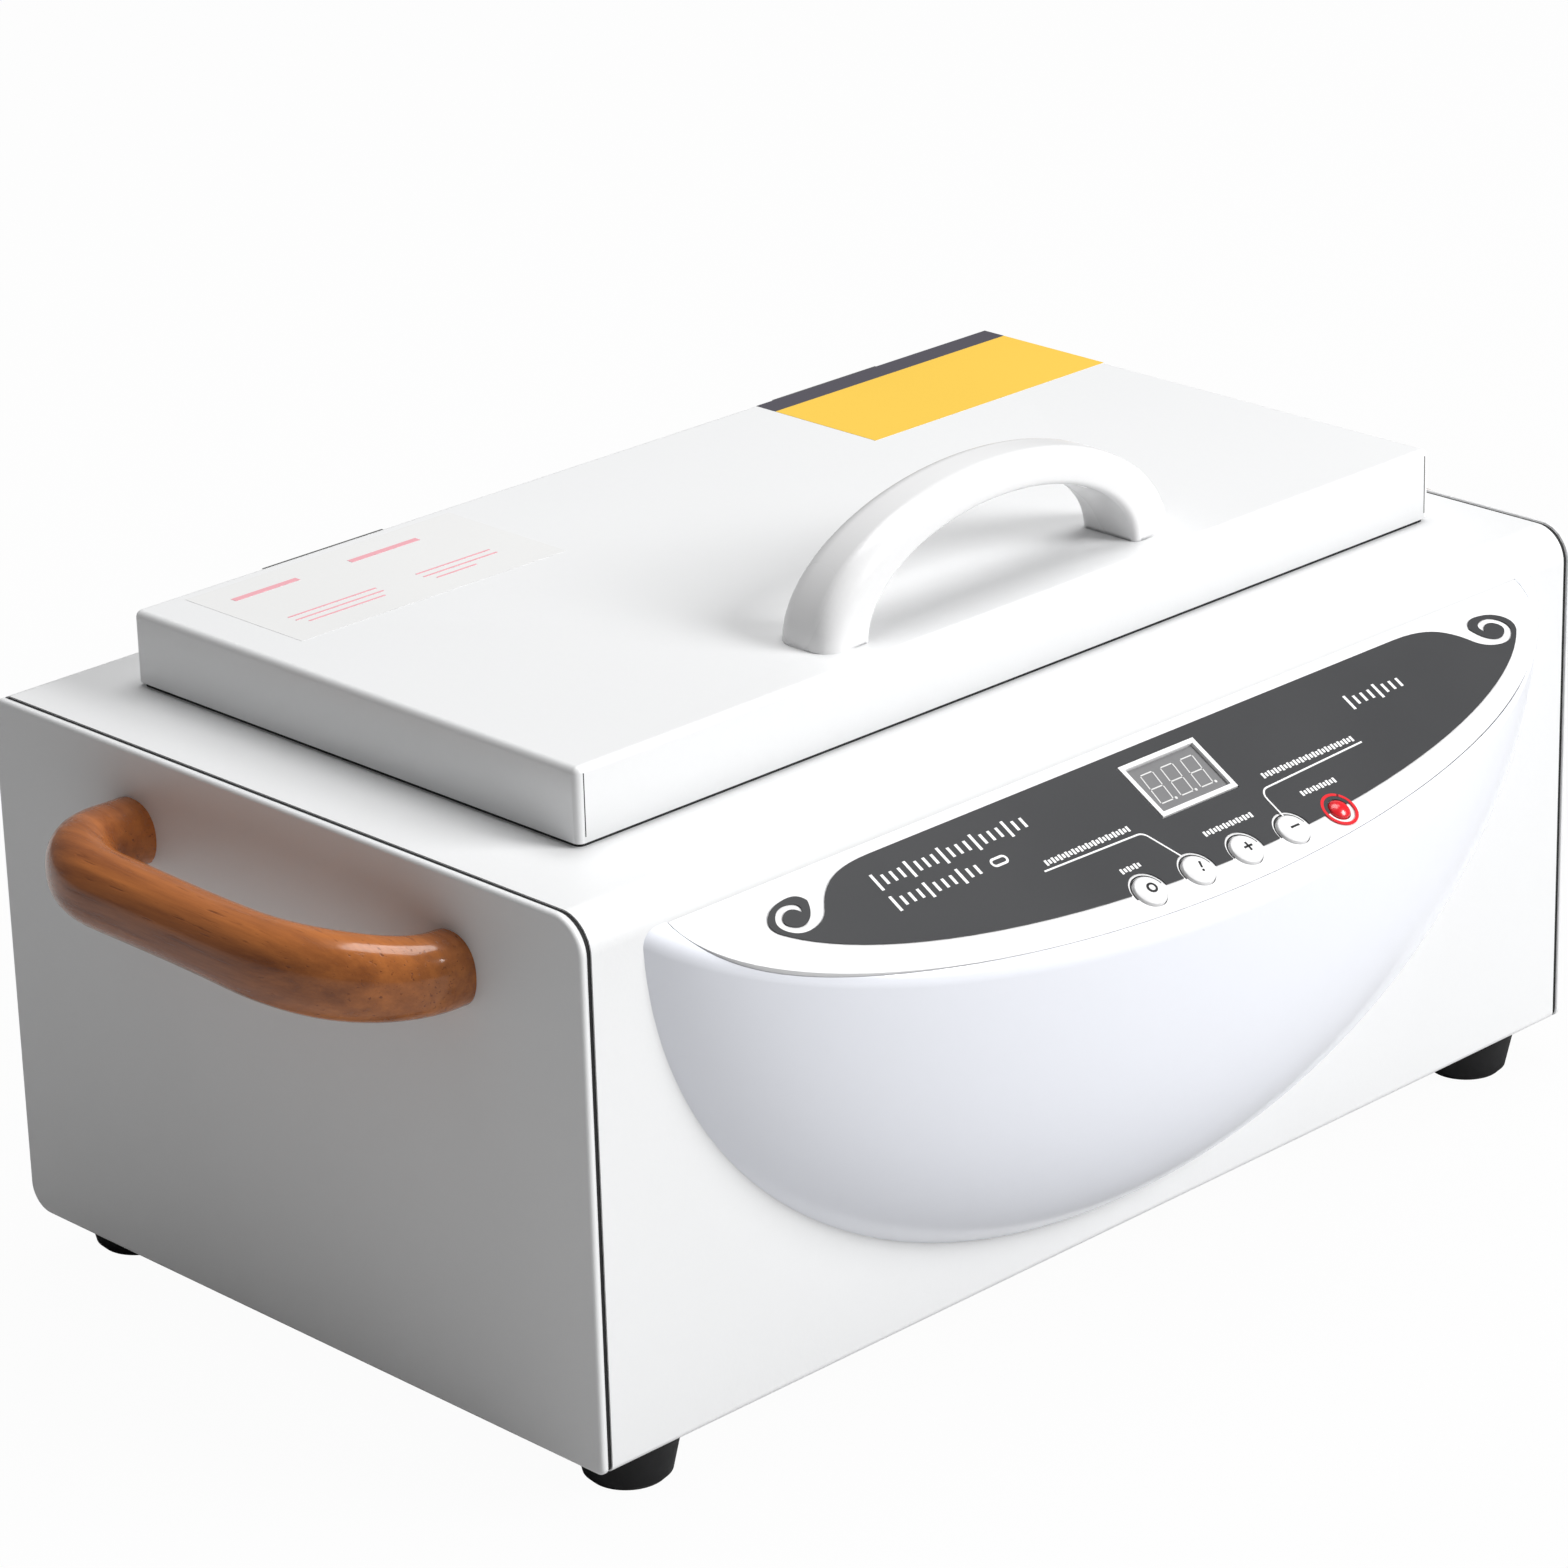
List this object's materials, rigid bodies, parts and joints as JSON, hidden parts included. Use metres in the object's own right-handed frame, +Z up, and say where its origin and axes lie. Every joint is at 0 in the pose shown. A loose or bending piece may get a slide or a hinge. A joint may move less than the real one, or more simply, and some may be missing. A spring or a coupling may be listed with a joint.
{
  "type": "dry heat sterilizer",
  "caption": "Bench-top dry heat sterilizer: folded white case with a hinged lid over a tank and tray, a moulded sloping control housing in front and wooden side grips.",
  "frame": {"origin": "middle of the part's box, on the surface it stands on", "axes": "+X to the right as seen from the key panel, +Y from the key panel to the back wall, +Z up"},
  "size_m": [0.4496, 0.2792, 0.2163],
  "materials": {
    "white_coat": "satin powder coat",
    "pod_plastic": "semi-gloss moulded",
    "panel_white": "semi-gloss",
    "overlay_film": "satin film",
    "display_face": "gloss window",
    "power_red": "gloss",
    "black_rubber": "matte",
    "silicone": "matte",
    "lacquered_wood": "gloss lacquer",
    "stainless": "brushed",
    "heater_sheath": "heat-darkened",
    "ceramic_bush": "matte",
    "zinc_steel": "zinc plated",
    "mineral_wool": "fibrous",
    "board_green": "solder mask",
    "black_plastic": "fine texture",
    "transformer_iron": "laminated",
    "terminal_plastic": "moulded"
  },
  "bodies": {
    "root": {"base_plate": "white_coat", "base_screws": "zinc_steel", "board_screws": "zinc_steel", "case_wrap": "white_coat", "chamber_gasket": "silicone", "chamber_tank": "stainless", "control_board": "board_green", "display_bezel": "panel_white", "display_module": "display_face", "fixed_leaf_screws": "zinc_steel", "foot_nuts": "zinc_steel", "foot_screws": "zinc_steel", "front_left_foot": "black_rubber", "front_right_foot": "black_rubber", "grip_screws": "zinc_steel", "heat_shield": "stainless", "heater_clamps": "stainless", "heater_relay": "black_plastic", "heater_terminals": "ceramic_bush", "heating_element": "heater_sheath", "hinge_pins": "zinc_steel", "inlet_screws": "zinc_steel", "instrument_tray": "stainless", "insulation_blanket": "mineral_wool", "key_switches": "black_plastic", "left_end_panel": "white_coat", "left_end_seal": "black_rubber", "left_fixed_leaf": "stainless", "left_grip": "lacquered_wood", "panel_overlay": "overlay_film", "panel_plate": "panel_white", "pod_housing": "pod_plastic", "pod_screws": "zinc_steel", "power_board": "board_green", "power_inlet": "black_plastic", "power_standoffs": "zinc_steel", "rear_left_foot": "black_rubber", "rear_right_foot": "black_rubber", "right_end_panel": "white_coat", "right_end_seal": "black_rubber", "right_fixed_leaf": "stainless", "right_grip": "lacquered_wood", "temperature_probe": "stainless", "terminal_block": "terminal_plastic", "thermal_cutout": "ceramic_bush", "transformer": "transformer_iron"},
    "lid": {"lid_cover": "white_coat", "lid_seal": "black_rubber", "lid_liner": "stainless", "lid_insulation": "mineral_wool", "lid_handle": "panel_white", "handle_screws": "zinc_steel", "moving_leaf_screws": "zinc_steel", "left_moving_leaf": "stainless", "right_moving_leaf": "stainless"},
    "menu_key": {"menu_key": "panel_white"},
    "minus_key": {"minus_key": "panel_white"},
    "plus_key": {"plus_key": "panel_white"},
    "power_key": {"power_key": "power_red"},
    "select_key": {"select_key": "panel_white"}
  },
  "joints": [
    {"name": "lid_hinge", "type": "hinge", "parent": "root", "child": "lid", "pos_m": [0.0048, 0.11593, 0.1634], "axis": [-1, 0, 0], "range_deg": [0, 95]},
    {"name": "menu_press", "type": "slide", "parent": "root", "child": "menu_key", "axis": [0, 0.5075, -0.8616], "range_m": [0, 0.0006], "stiffness_N_per_m": 300},
    {"name": "select_press", "type": "slide", "parent": "root", "child": "select_key", "axis": [0, 0.5075, -0.8616], "range_m": [0, 0.0006], "stiffness_N_per_m": 300},
    {"name": "plus_press", "type": "slide", "parent": "root", "child": "plus_key", "axis": [0, 0.5075, -0.8616], "range_m": [0, 0.0006], "stiffness_N_per_m": 300},
    {"name": "minus_press", "type": "slide", "parent": "root", "child": "minus_key", "axis": [0, 0.5075, -0.8616], "range_m": [0, 0.0006], "stiffness_N_per_m": 300},
    {"name": "power_press", "type": "slide", "parent": "root", "child": "power_key", "axis": [0, 0.5075, -0.8616], "range_m": [0, 0.0006], "stiffness_N_per_m": 300}
  ]
}
